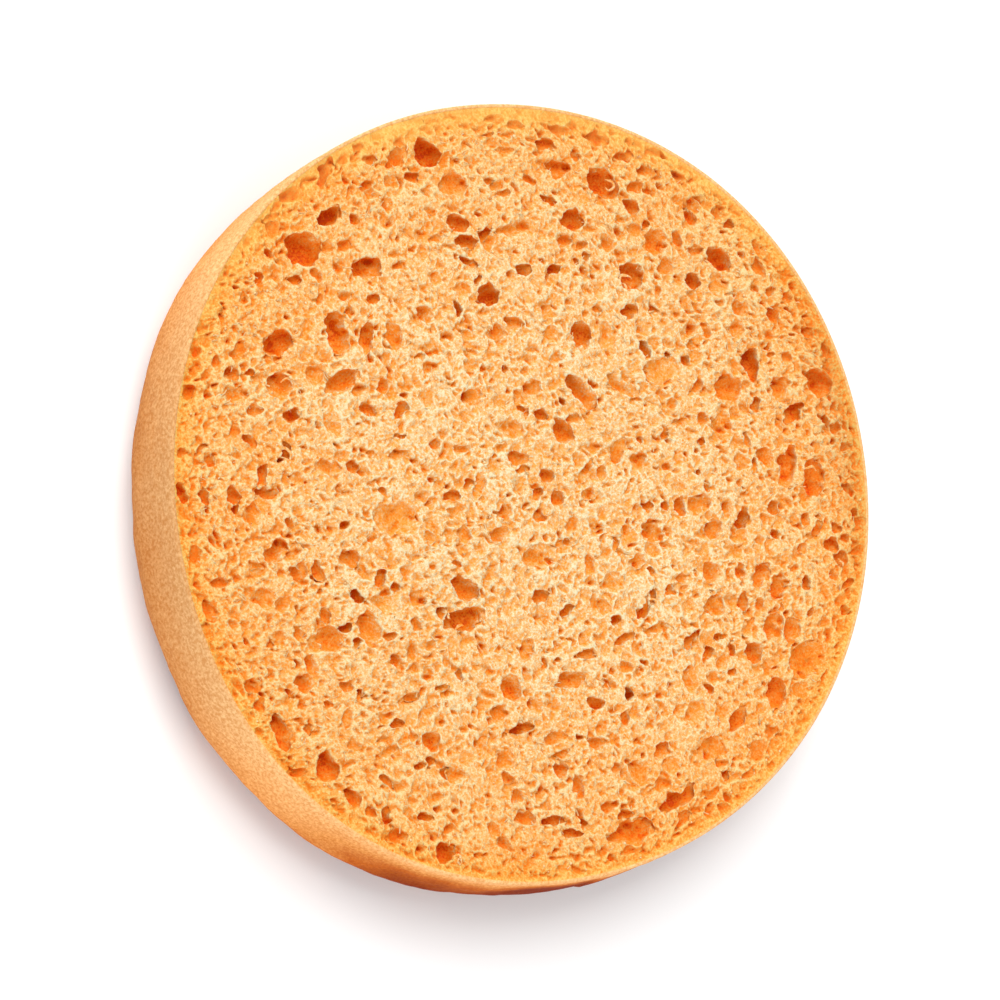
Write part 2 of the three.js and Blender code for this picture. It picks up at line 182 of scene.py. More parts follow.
    (18.4, 36.6, 2, 1.6, 90, 1.4), (18.6, -30.9, 1.4, 1.2, 0, 1), (18.6, 22.2, 3.2, 2.4, 20, 1.2),
    (18.8, 26.5, 3, 1.4, 50, 1.2), (19, -42.5, 2, 1.4, -30, 1), (19, -5.9, 3, 2.4, 60, 0.9),
    (19.5, 43.1, 1.8, 1.2, 20, 1), (19.7, 29.3, 1.6, 1.6, 0, 1), (19.9, -29.2, 1.6, 1.2, -40, 1),
    (20.2, 13, 4.6, 1.2, -5, 0.8), (20.4, -33.7, 1.6, 1.2, 0, 0.9), (20.4, -16, 1.6, 1, 90, 1.2),
    (20.4, 8.2, 3, 1.3, 10, 1.2), (20.6, 32.4, 1.1, 1, 0, 1), (21.1, -1.7, 1, 0.8, 0, 1.2),
    (21.3, -18.4, 2, 1, 0, 0.9), (21.3, -3.9, 1.4, 1, 90, 0.9), (21.4, 2.2, 2.8, 1.2, -10, 1.2),
    (21.6, -22.6, 2, 1, -10, 1), (22, -43.2, 1.8, 1.4, 90, 0.7), (22.2, 26.6, 3.2, 1.4, 55, 0.8),
    (22.2, 36.5, 1.3, 0.9, 60, 1), (22.5, -40.3, 4.4, 1.9, -75, 1.8), (22.5, 18, 3.6, 1.2, 40, 1.4),
    (22.5, 21.9, 1.6, 1, 0, 1), (22.7, -31.6, 2.6, 1.4, 70, 0.7), (22.9, -36.7, 1.6, 0.9, 90, 1),
    (22.9, 41.8, 1.8, 1.2, 90, 0.8), (23.1, 30.2, 3.8, 2.4, 65, 1.8), (23.2, -9.1, 3.4, 2.4, 85, 1.7),
    (23.3, -26.6, 2.2, 1.6, 20, 0.7), (23.8, 7.5, 1.8, 1.6, 0, 0.9), (23.8, 33.1, 3.4, 2.4, 45, 1.7),
    (24, -0.7, 4.4, 1.8, -5, 1.6), (24.1, -21.4, 3, 1.4, 15, 0.7), (24.5, -25.3, 1.9, 1.2, 0, 1.4),
    (24.5, 19.9, 2.6, 1.3, 60, 1.5), (24.9, 23.4, 2.4, 0.9, 80, 1.2), (25.6, 4.1, 1.6, 1, 90, 0.9),
    (25.6, 26.6, 3.2, 2.4, 5, 2), (25.9, 21.6, 2, 1.8, 0, 0.7), (26.1, -31.2, 1.8, 1.8, 0, 0.7),
    (26.1, -6.2, 3, 2, -30, 0.7), (26.3, -11.4, 2.4, 2.4, 0, 1.2), (26.4, -23.4, 2, 1.2, 0, 0.7),
    (27, 16.6, 3, 3, 0, 0.9), (27.2, 7.4, 1.6, 1.5, 90, 2.4), (27.4, -21, 2.6, 2.2, 90, 1.4),
    (27.4, 23.2, 1.3, 0.8, 0, 1), (27.5, -26.9, 2.8, 1.2, 20, 0.8), (27.7, -39.4, 2.8, 1.8, -20, 0.9),
    (27.7, 2.4, 2.4, 1.8, -20, 1.3), (27.9, -35.2, 3.8, 3.2, 90, 2.2), (27.9, 34.9, 6.6, 5, 25, 1.4),
    (28.1, 28.6, 2.4, 2, 90, 0.6), (28.4, -8.4, 3.2, 1.4, 5, 2), (28.8, -11.2, 1.3, 0.8, 0, 1),
    (29.1, 19.1, 1.3, 1.2, 0, 1.1), (29.3, -14.8, 2, 1.4, 0, 0.8), (30, -21.6, 1.5, 1.4, 0, 1.4),
    (30.4, -23.4, 1.3, 0.9, 0, 1.3), (30.4, 6.3, 2.4, 1.1, 75, 1), (30.8, -4.2, 3.4, 1.6, 0, 0.9),
    (31.3, -28, 2.4, 1, -50, 1), (31.4, -1, 0.8, 0.5, 0, 1.3), (31.5, 16.3, 4.2, 3.2, 60, 0.8),
    (31.5, 28.8, 3.8, 3, 60, 2), (31.8, -20.1, 1.6, 1.4, 0, 1.2), (31.8, -11.9, 3, 2.6, -40, 1.1),
    (31.8, 32.4, 2.8, 2.4, 0, 0.7), (32, -32.8, 3, 1.7, -65, 1.5), (32.2, 1.5, 2.6, 1.8, 0, 1.2),
    (32.4, -18.5, 3, 1.6, -15, 0.9), (32.9, -3.9, 2.4, 0.9, 0, 0.8), (33.8, 22.4, 4, 2.2, 25, 1.6),
    (34.3, -30.8, 1.3, 1.1, 0, 1),
    # near edge
    (34.5, -12.1, 1.6, 1.2, 0, 1), (34.5, -4.2, 2, 1.7, 20, 1.5), (35.2, -28.8, 2.4, 1.6, 75, 1.4),
    (35.2, 10.4, 2.8, 1.6, 30, 1.3), (36.1, 3.8, 1.8, 1.3, 0, 1), (36.3, 27.4, 1.6, 1.3, 0, 1),
    (36.5, -24.1, 1.9, 1, -20, 1.5), (36.6, -7.6, 1.2, 1.2, 0, 0.8), (36.7, 17.6, 5.2, 3.6, 0, 1.2),
    (36.8, -11, 2, 1.6, 0, 1.1), (37.2, -2.3, 2.8, 1.6, 90, 1.3), (37.4, 11.5, 2.8, 2.6, 0, 0.5),
    (37.5, 6.6, 3.2, 2.8, 90, 1), (38.1, -28, 2.8, 2, -10, 1.3), (38.1, 24.5, 3.2, 2.6, 0, 1),
    (38.2, 19, 1.8, 1, 0, 0.8), (38.8, -21, 2.4, 1.4, 20, 0.8), (39.5, -10.5, 3.2, 1.8, -20, 1.3),
    (39.8, 9.5, 2.6, 2.2, 0, 1), (39.9, -15.1, 2, 2, 0, 0.8), (40.8, 1.5, 2.2, 1.8, 30, 1.2),
    (40.8, 19.2, 1.5, 1.4, 90, 1.3), (40.8, 22.2, 2.2, 1.2, 0, 0.7), (40.9, -6.6, 3, 1.2, -15, 1.5),
    (41.3, -21.9, 2.8, 2.4, -20, 2.2), (41.5, -2.6, 1.6, 1, 0, 1.4), (41.9, 11.4, 6.2, 2, 20, 2),
    (42, 16.5, 2.8, 1.6, 0, 0.9), (42.2, -13.7, 2.6, 1.4, -50, 1), (42.2, 3.6, 2, 1.2, 0, 1.1),
    (42.6, -23.5, 1.6, 1.2, -20, 0.7), (42.9, -4.4, 3.4, 1.2, -12, 1.3), (43.4, 18.8, 1.1, 1, 0, 1.1),
    (43.5, 14.1, 1.2, 0.9, 0, 0.9), (44.4, 17.9, 2, 1, 0, 0.8), (44.5, 3.9, 7.2, 2.8, 0, 1.8),
    (44.5, 11.8, 2.8, 1.2, 20, 1), (46.6, 3.3, 3, 1, 0, 0.7), (47, 0.4, 1.4, 0.9, 0, 0.9),
)

# Scraps of torn cell wall that curl in some pockets, on the same axes:
# (x, y, radius of the curl, where it starts and how far it turns in degrees, depth)
TORN_CURLS = (
    (-38.0, -18.3, 0.9, 80, 120, 0.2), (-37.5, 18.2, 0.75, -60, 260, 0.7),
    (-34.6, -2.7, 0.6, 10, 180, 0.5), (-24.8, 18.0, 0.8, 100, 200, 0.4),
    (-24.2, 17.2, 0.5, -20, 170, 0.3), (-22.2, -31.7, 0.8, -40, 160, 0.5),
    (-18.3, -31.3, 0.9, 30, 200, 0.6), (-10.2, -33.3, 0.8, 20, 220, 0.5),
    (4.1, 36.5, 1.2, 0, 80, 0.3), (5.2, 40.6, 1.6, 150, 60, 0.3),
    (12.9, -15.5, 0.5, 200, 150, 0.2), (15.1, -14.4, 0.7, 150, 120, 0.3),
    (16.6, 41.8, 1.0, 60, 80, 0.3), (16.7, 12.3, 1.4, 60, 90, 0.3),
    (24.5, 23.4, 0.8, 40, 230, 0.5), (42.5, -20.7, 0.65, 0, 250, 0.1),
    (42.6, -20.5, 0.35, 150, 220, 0.05),
)

CURL_TONE = (0.42, 0.5, 0.0, 0.5) # as in the tone of the cut face, which gives the scraps the painted shade of a shallow hollow

# Levels of smaller cells: (spacing, share that are open, depth, how much is left of a
# level inside the hollows of the larger ones, seed)
CELL_LEVELS = (
    (2.1, 0.45, 0.75, 0.15, 11),
    (1.2, 0.6, 0.5, 0.5, 12),
    (1.0, 0.25, 0.5, 1.8, 15),
    (0.72, 0.7, 0.27, 0.8, 13),
    (0.45, 0.75, 0.16, 1.0, 14),
)
SLANT = 0.4                       # how much deeper a pocket is on one side than midway
DEEP_SIDE = (235, 70)             # which side that is, in degrees, and how far it varies
WALL = 0.16                       # thickness of the walls between small cells
RIM_BAND = 5.0                    # next to the crust the cells are flattened
RIM_SQUEEZE = 0.7                 # by one plus this
DEEPEST = 3                       # the depth that has the full tone


# ---------- outline of the bun
def wave(turns, height, phase, angle):
    return height * np.cos(turns * angle - math.radians(phase))


def face_radius(angle):
    return FACE_RADIUS + sum(wave(*w, angle) for w in FACE_WAVES)


def side_point(out, z, share, angle):
    """A point of the side, out past the cut edge, with that share of the belly's own shape."""
    radius = face_radius(angle) + out + share * wave(*BELLY_WAVE, angle)
    x = FACE_CENTRE[0] + share * (BELLY_CENTRE[0] - FACE_CENTRE[0]) + radius * np.cos(angle)
    y = FACE_CENTRE[1] + share * (BELLY_CENTRE[1] - FACE_CENTRE[1]) + radius * np.sin(angle)
    return x, y, z + 0 * x


# ---------- noise and cells
TABLE = 256                       # the random numbers repeat after this many steps


def random_table(seed, columns):
    return np.random.default_rng(seed).random((TABLE, TABLE, columns), dtype=np.float32)


def smooth_noise(x, y, size, seed):
    """Soft random hills from -1 to 1, about size across."""
    table = random_table(seed, 1)[..., 0] * 2 - 1
    u, v = x / size, y / size
    i, j = np.floor(u).astype(int), np.floor(v).astype(int)
    fu, fv = u - i, v - j
    fu, fv = fu * fu * (3 - 2 * fu), fv * fv * (3 - 2 * fv)

    def corner(a, b):
        return table[(i + a) % TABLE, (j + b) % TABLE]

    low = corner(0, 0) * (1 - fu) + corner(1, 0) * fu
    high = corner(0, 1) * (1 - fu) + corner(1, 1) * fu
    return low * (1 - fv) + high * fv


def nearest_cells(x, y, spacing, seed):
    """For each place, the cell it is in: distance to the cell's middle, distance to its wall,
    the middle, and the cell's own random numbers."""
    table = random_table(seed, 6)
    u, v = x / spacing, y / spacing
    i, j = np.floor(u).astype(int), np.floor(v).astype(int)
    best = np.full(u.shape, np.inf)
    second = best.copy()
    middle = np.zeros((2, *u.shape))
    other = middle.copy()
    picked = np.zeros((*u.shape, 6), np.float32)
    for a in (-1, 0, 1):
        for b in (-1, 0, 1):
            numbers = table[(i + a) % TABLE, (j + b) % TABLE]
            place = np.stack((i + a + 0.06 + 0.88 * numbers[..., 0],
                              j + b + 0.06 + 0.88 * numbers[..., 1]))
            away = (u - place[0]) ** 2 + (v - place[1]) ** 2 - 0.22 * numbers[..., 2]
            closer = away < best
            next_best = ~closer & (away < second)
            second = np.where(closer, best, np.where(next_best, away, second))
            other = np.where(closer, middle, np.where(next_best, place, other))
            best = np.where(closer, away, best)
            middle = np.where(closer, place, middle)
            picked[closer] = numbers[closer]
    gap = np.maximum(np.hypot(*(other - middle)), 1e-3)
    wall = (second - best) / (2 * gap) * spacing
    distance = np.hypot(u - middle[0], v - middle[1]) * spacing
    return distance, wall, middle * spacing, picked


def bowl(inside):
    """Depth share of a hollow with a round floor; inside is 0 at its edge."""
    inside = np.clip(inside, 0, 1)
    return 1 - (1 - inside) ** 2


def smooth_step(low, high, value):
    t = np.clip((value - low) / (high - low), 0, 1)
    return t * t * (3 - 2 * t)


# ---------- the cut face
def face_grid():
    """Places of the sheet's points on axes through the face's middle, as square arrays: a
    square grid pressed into the round outline without bunching anywhere."""
    a, b = np.meshgrid(*[np.linspace(-1, 1, FACE_GRID)] * 2, indexing="ij")
    a = np.where(a == 0, 1e-9, a)
    b = np.where(b == 0, 1e-9, b)
    sideways = np.abs(a) > np.abs(b)
    share = np.where(sideways, a, b)
    turn = np.where(sideways, math.pi / 4 * b / a, math.pi / 2 - math.pi / 4 * a / b)
    angle = np.arctan2(share * np.sin(turn), share * np.cos(turn))
    radius = np.abs(share) * (face_radius(angle) - 0.8 * SKIN)
    return radius * np.cos(angle), radius * np.sin(angle)


def small_cells(x, y, filled):
    """Depth of the random cells where the large pockets fill that share, and each point's
    own cell middle, which says which piece it belongs to."""
    from_middle = np.hypot(x, y)
    squeeze = RIM_SQUEEZE * np.logaddexp(0, (from_middle - FACE_RADIUS + RIM_BAND) / 1.5) * 1.5
    stretch = 1 + squeeze / np.maximum(from_middle, 1)
    u, v = x * stretch, y * stretch
    depth = np.zeros(x.shape)
    owner = None
    for spacing, share, full_depth, kept, seed in CELL_LEVELS:
        distance, wall, middle, numbers = nearest_cells(u, v, spacing, seed)
        radius = spacing * (0.34 + 0.3 * numbers[..., 3])
        inside = np.minimum(radius - distance, wall - WALL / 2)
        hollow = bowl(inside / (0.7 * radius)) * (numbers[..., 4] < share)
        deep = full_depth * (0.35 + 0.65 * numbers[..., 5])
        depth += hollow * deep * (1 - (1 - kept) * filled)
        filled = np.maximum(filled, smooth_step(0.1, 0.6, hollow))
        if owner is None:
            owner = middle
    return depth, owner


def large_pockets(x, y, warped):
    """Depth of the listed pockets, how far their steep sides lean outwards, the share
    of each point that lies in one, and the middle of that pocket."""
    depth = np.zeros(x.shape)
    lean = np.zeros((2, *x.shape))
    filled = np.zeros(x.shape)
    middle = np.full((2, *x.shape), np.nan)
    deep_sides = np.random.default_rng(51).uniform(-1, 1, len(POCKETS))
    for (px, py, length, width, turn, deep), side in zip(POCKETS, deep_sides):
        near = np.nonzero((np.abs(x - px) < length) & (np.abs(y - py) < length))
        dx, dy = warped[0][near] - px, warped[1][near] - py
        t = math.radians(turn)
        along = (dy * math.cos(t) - dx * math.sin(t)) / (length / 2)
        across = (dx * math.cos(t) + dy * math.sin(t)) / (width / 2)
        ring = np.hypot(along, across)
        roundness = min(max(deep / width, 0.3), 1.0)
        widest = math.radians(60 + 60 * roundness)
        turned = np.clip(ring, 0, 1) * widest
        sunk = deep * (np.cos(turned) - math.cos(widest)) / (1 - math.cos(widest))
        side = math.radians(DEEP_SIDE[0] + DEEP_SIDE[1] * side)
        towards = (dx * math.cos(side) + dy * math.sin(side)) / (width / 2)
        sunk *= 1 + SLANT * np.clip(towards, -1, 1)
        spread = np.sin(turned) / math.sin(widest) / np.maximum(ring, 1e-3) - 1
        deeper = (ring < 1) & (sunk > depth[near])
        here = tuple(k[deeper] for k in near)
        depth[here] = sunk[deeper]
        lean[0][here] = (spread * dx)[deeper]
        lean[1][here] = (spread * dy)[deeper]
        middle[0][here], middle[1][here] = px, py
        filled[near] = np.maximum(filled[near], smooth_step(1.08, 0.9, ring))
    return depth, lean, filled, middle


def blurred(values, reach):
    """Values of the square grid averaged over a window of this many points each way."""
    width = 2 * reach + 1
    for axis in (0, 1):
        padding = [(reach + 1, reach) if k == axis else (0, 0) for k in (0, 1)]
        total = np.cumsum(np.pad(values, padding, mode="edge"), axis=axis)
        values = (np.take(total, range(width, total.shape[axis]), axis)
                  - np.take(total, range(total.shape[axis] - width), axis)) / width
    return values


def crumb_sheet():
    """Points of the cut face, each point's owner place, and its tone in four parts: root of
    its depth, standing out from its neighbours, closeness to the crust, and share of the way
    out from the middle."""
    x, y = face_grid()
    warped = [k + 0.4 * smooth_noise(x, y, 1.5, seed) + 0.28 * smooth_noise(x, y, 0.55, seed + 1)
              for k, seed in ((x, 21), (y, 23))]
    depth, lean, filled, pocket = large_pockets(x, y, warped)
    cells, owner = small_cells(*warped, filled)
    owner = np.where(np.isnan(pocket), owner, pocket)
    to_crust = face_radius(np.arctan2(y, x)) - np.hypot(x, y)
    calm = smooth_step(0.3, 1.4, to_crust) * (0.5 + 0.5 * smooth_step(-49, -45, x))
    sag = 0.12 * smooth_noise(x, y, 4, 31) + 0.05 * smooth_noise(x, y, 0.45, 32)
    total = (depth + cells) * calm + (sag + 0.12) * smooth_step(0, 1, to_crust) + 0.1
    total = 0.5 * (total + blurred(total, 1))
    points = np.stack((x + lean[0] + FACE_CENTRE[0], y + lean[1] + FACE_CENTRE[1],
                       HEIGHT - total), -1)
    # The first two parts of the tone drive the crumb's painted shade: deeper and sunk points are painted
    # darker.
    deepness = np.sqrt(np.maximum(total, 0) / DEEPEST)
    proud = 0.5 + blurred(total, 2) - total
    rim = 1 - smooth_step(0, RIM_BAND, to_crust)
    tone = np.stack((deepness, proud, rim, np.hypot(x, y) / FACE_RADIUS), -1)
    return points, owner, tone


# ---------- meshes
def in_scene(name, data):
    """A new object of the scene, at the origin, that shows this mesh, camera or light."""
    made = bpy.data.objects.new(name, data)
    bpy.context.scene.collection.objects.link(made)
    return made


def mesh_object(name, points, faces, material):
    """A smooth piece at the origin from points in millimetres and its faces."""
    mesh = bpy.data.meshes.new(name)
    mesh.from_pydata((np.asarray(points) * MM).tolist(), [], faces)
    mesh.shade_smooth()
    mesh.materials.append(material)
    return in_scene(name, mesh)


def point_numbers(rows, columns):
    return np.arange(rows * columns).reshape(rows, columns)


def sheet_quads(index):
    """The four corners of each face between the rows and columns of numbered points."""
    return np.stack((index[:-1, :-1], index[1:, :-1], index[1:, 1:], index[:-1, 1:]), -1)


def ring_quads(index):
    """The same where each row of points is a closed ring, as a list of faces."""
    turned = np.roll(index, -1, axis=1)
    quads = np.stack((index[:-1], index[1:], turned[1:], turned[:-1]), -1)
    return quads.reshape(-1, 4).tolist()


def belongs(piece):
    """The piece is part of the bun: it rides on its body and stands for its solid."""
    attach(piece, BODY)
    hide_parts(NODE)


def add_tone(mesh, tone):
    layer = mesh.attributes.new("tone", "FLOAT_COLOR", "POINT")
    layer.data.foreach_set("color", np.ascontiguousarray(tone, np.float32).ravel())


def add_bake_map(mesh, corners):
    """Gives the mesh its own flat map, from a place between 0 and 1 for each face corner."""
    layer = mesh.uv_layers.new(name="OFBake")
    layer.data.foreach_set("uv", np.ascontiguousarray(corners, np.float32).ravel())


def crumb_pieces(points, owner, tone, material):
    """The cut face in four pieces that meet along the walls of its cells."""
    quads = sheet_quads(point_numbers(FACE_GRID, FACE_GRID)).reshape(-1, 4)
    quarter = (owner[0] > 0) * 2 + (owner[1] > 0)
    quad_quarter = quarter[:-1, :-1].ravel()
    flat_points, flat_tone = points.reshape(-1, 3), tone.reshape(-1, 4)
    for number, place in enumerate(("far_left", "far_right", "near_left", "near_right")):
        own = quads[quad_quarter == number]
        used, faces = np.unique(own, return_inverse=True)
        faces = faces.reshape(-1, 4)
        piece = mesh_object("crumb_" + place, flat_points[used], faces.tolist(), material)
        add_tone(piece.data, flat_tone[used])
        rows = np.stack((used // FACE_GRID, used % FACE_GRID), -1).astype(float)
        rows = 0.01 + 0.98 * (rows - rows.min(0)) / np.ptp(rows, axis=0)
        add_bake_map(piece.data, rows[faces.ravel()])
        belongs(piece)


# ---------- the crust
AROUND = 720                      # points round the crust
SIDE_ROWS = 44
BASE_ROWS = 6
ROW_STEP = 0.42                   # from one row to the next, on average
CRUST_ROUGHNESS = (               # (height, stretch along the rows, size, seed)
    (0.16, 1, 7, 41), (0.08, 2, 1.5, 42), (0.04, 1.5, 0.8, 43),
)


def crust_profile():
    """Rows of the crust: (out past the cut edge, height, share of the belly's shape), from
    inside the cut edge, over it, down the side and round to the flat base."""
    rows = [(-1.1 * SKIN, HEIGHT - 1.6, 0), (-0.84 * SKIN, HEIGHT - 0.2, 0),
            (-0.8 * SKIN, HEIGHT - 0.08, 0), (-0.74 * SKIN, HEIGHT - 0.05, 0),
            (-0.25 * SKIN, HEIGHT - 0.03, 0)]
    for k in range(SIDE_ROWS):
        share = k / (SIDE_ROWS - 1)
        if share < 0.5:
            down = share / 0.5
            rows.append((BELLY_BULGE * math.sin(down * math.pi / 2),
                         HEIGHT - 0.12 - (BELLY_DROP - 0.12) * down, down))
        else:
            turn = (share - 0.5) * math.pi
            out = BELLY_BULGE - EDGE_ROUNDING * (1 - math.cos(turn))
            rows.append((out, (HEIGHT - BELLY_DROP) * (1 - math.sin(turn)), 1))
    return rows


def crust_piece(material):
    """The skin of the side, rough on its flank only, with the flat base closed to a point."""
    angle = np.arange(AROUND) / AROUND * 2 * math.pi
    rows = crust_profile()
    rings = [np.stack(side_point(*row, angle), -1) for row in rows]
    base = rings[-1]
    centre = np.array((*BELLY_CENTRE, 0.0))
    for k in range(1, BASE_ROWS):
        rings.append(centre + (base - centre) * (1 - k / BASE_ROWS))
    points = np.stack(rings)
    middle = points[:, :, :2] - centre[:2]
    outward = middle / np.maximum(np.hypot(*middle.transpose(2, 0, 1))[..., None], 1)
    arc = angle[None, :] * FACE_RADIUS
    row = np.arange(len(rings))[:, None]
    rough = sum(height * smooth_noise(arc / stretch, row * ROW_STEP, size, seed)
                for height, stretch, size, seed in CRUST_ROUGHNESS)
    on_side = smooth_step(4, 9, row) * smooth_step(len(rows) + 2, len(rows) - 12, row)
    points[:, :, :2] += outward * (rough * on_side)[..., None]
    index = point_numbers(len(rings), AROUND)
    points = np.concatenate((points.reshape(-1, 3), centre[None]))
    pole = len(points) - 1
    last = index[-1].tolist()
    closing = [[a, pole, b] for a, b in zip(last, last[1:] + last[:1])]
    belongs(mesh_object("crust", points, ring_quads(index) + closing, material))


# ---------- what is strewn on the crumb
def add_sockets(tree, direction, kind, names):
    for name in names:
        tree.interface.new_socket(name, in_out=direction, socket_type="NodeSocket" + kind)


def scatter_tree(shape_maker):
    """Geometry nodes that strew a small shape over the mesh they are given, each turned and
    sized at random, then bend them all by one soft noise so that no two are alike."""
    tree = bpy.data.node_groups.new("strewn_" + shape_maker.__name__, "GeometryNodeTree")
    add_sockets(tree, "INPUT", "Geometry", ("Geometry",))
    add_sockets(tree, "INPUT", "Float",
                ("Density", "Smallest", "Largest", "Bend", "Bend Size", "Lift"))
    add_sockets(tree, "INPUT", "Int", ("Seed",))
    add_sockets(tree, "INPUT", "Material", ("Finish",))
    add_sockets(tree, "OUTPUT", "Geometry", ("Geometry",))
    wires = Wiring(tree)
    given = wires.add("NodeGroupInput").outputs
    places = wires.add("GeometryNodeDistributePointsOnFaces",
                       {"Mesh": given["Geometry"], "Density": given["Density"],
                        "Seed": given["Seed"]}).outputs["Points"]
    turn = wires.out("FunctionNodeRandomValue",
                     {0: (0, 0, 0), 1: (0.5, 0.5, 2 * math.pi), "Seed": given["Seed"]},
                     data_type="FLOAT_VECTOR")
    size = wires.add("FunctionNodeRandomValue",
                     {2: given["Smallest"], 3: given["Largest"], "Seed": given["Seed"]},
                     data_type="FLOAT").outputs[1]
    copies = wires.out("GeometryNodeInstanceOnPoints",
                       {"Points": places, "Instance": shape_maker(wires), "Rotation": turn,
                        "Scale": size})
    real = wires.out("GeometryNodeRealizeInstances", {0: copies})
    place = wires.out("GeometryNodeInputPosition")
    scale = wires.math("DIVIDE", 1.0, given["Bend Size"])
    noise = wires.add("ShaderNodeTexNoise", {"Vector": place, "Scale": scale}).outputs["Color"]
    bent = wires.offset(noise, given["Bend"])
    up = wires.out("ShaderNodeCombineXYZ", {"Z": given["Lift"]})
    moved = wires.out("ShaderNodeVectorMath", {0: bent, 1: up}, operation="ADD")
    laid = wires.out("GeometryNodeSetPosition", {"Geometry": real, "Offset": moved})
    smooth = wires.out("GeometryNodeSetShadeSmooth", {0: laid})
    finished = wires.out("GeometryNodeSetMaterial", {0: smooth, "Material": given["Finish"]})
    wires.add("NodeGroupOutput", {0: finished})
    return tree


def thread(wires):
    """A strand one unit long, three-sided and thin."""
    line = wires.out("GeometryNodeCurvePrimitiveLine", {"Start": (-0.5, 0, 0), "End": (0.5, 0, 0)})
    stepped = wires.out("GeometryNodeResampleCurve", {"Curve": line, "Count": 5})
    section = wires.out("GeometryNodeCurvePrimitiveCircle", {"Resolution": 3, "Radius": 0.045})
    return wires.out("GeometryNodeCurveToMesh",
                     {"Curve": stepped, "Profile Curve": section, "Fill Caps": True})


def morsel(wires):
    """A crumb one unit across."""
    return wires.out("GeometryNodeMeshIcoSphere", {"Radius": 0.5, "Subdivisions": 1})


def strewn_piece(name, ground, shape_maker, material, sizes):
    """A finished piece of many small shapes strewn over the ground mesh."""
    host = in_scene(name + "_ground", ground)
    tree = scatter_tree(shape_maker)
    modifier = host.modifiers.new("strew", "NODES")
    modifier.node_group = tree
    values = {**sizes, "Finish": material}
    for item in tree.interface.items_tree:
        if item.item_type == "SOCKET" and item.name in values:
            modifier[item.identifier] = values[item.name]
    bpy.context.view_layer.update()
    result = host.evaluated_get(bpy.context.evaluated_depsgraph_get())
    mesh = bpy.data.meshes.new_from_object(result)
    mesh.name = name
    bpy.data.objects.remove(host)
    belongs(in_scene(name, mesh))


def curl_mesh(x, y, radius, start, sweep, depth):
    """Points and faces of one torn scrap: a flattened strand round a bend, thin at both ends."""
    steps, sides, widest = 18, 7, 0.19
    along = np.linspace(0, 1, steps)[:, None]
    round_it = np.arange(sides)[None, :] / sides * 2 * math.pi
    thick = widest * (0.25 + 0.75 * np.sin(math.pi * along))
    thick = thick * (1 + 0.5 * smooth_noise(9 * along + x, round_it + y, 1.5, 61))
    strayed = radius * (1 + 0.4 * smooth_noise(4 * along + y, 0 * along + x, 1.2, 62))
    reach = strayed + thick * np.cos(round_it)
    angle = np.radians(start + sweep * along)
    points = np.stack((FACE_CENTRE[0] + x + reach * np.cos(angle),
                       FACE_CENTRE[1] + y + reach * np.sin(angle),
                       HEIGHT - depth + 0.6 * thick * np.sin(round_it) - 0.2 * along), -1)
    index = point_numbers(steps, sides)
    caps = [index[0].tolist(), index[-1][::-1].tolist()]
    return points.reshape(-1, 3), ring_quads(index) + caps


def curls_piece(material):
    """All the torn scraps, in the crumb's painted shade of a shallow depth."""
    points, faces = [], []
    for curl in TORN_CURLS:
        own_points, own_faces = curl_mesh(*curl)
        start = len(points)
        points.extend(own_points)
        faces.extend([start + corner for corner in face] for face in own_faces)
    piece = mesh_object("torn_curls", points, faces, material)
    add_tone(piece.data, np.tile(CURL_TONE, (len(points), 1)))
    belongs(piece)


def face_ground(points, inner):
    """A coarse copy of the cut face's shallow parts, away from its edge, to strew things on."""
    step = 2
    coarse = points[::step, ::step]
    flat = coarse.reshape(-1, 3)
    quads = sheet_quads(point_numbers(*coarse.shape[:2])).reshape(-1, 4)
    corners = flat[quads]
    away = np.hypot(corners[:, 0, 0] - FACE_CENTRE[0], corners[:, 0, 1] - FACE_CENTRE[1])
    kept = quads[(corners[..., 2].min(1) > HEIGHT - 0.6) & (away < inner)]
    mesh = bpy.data.meshes.new("ground")
    mesh.from_pydata((flat * MM).tolist(), [], kept.tolist())
    return mesh


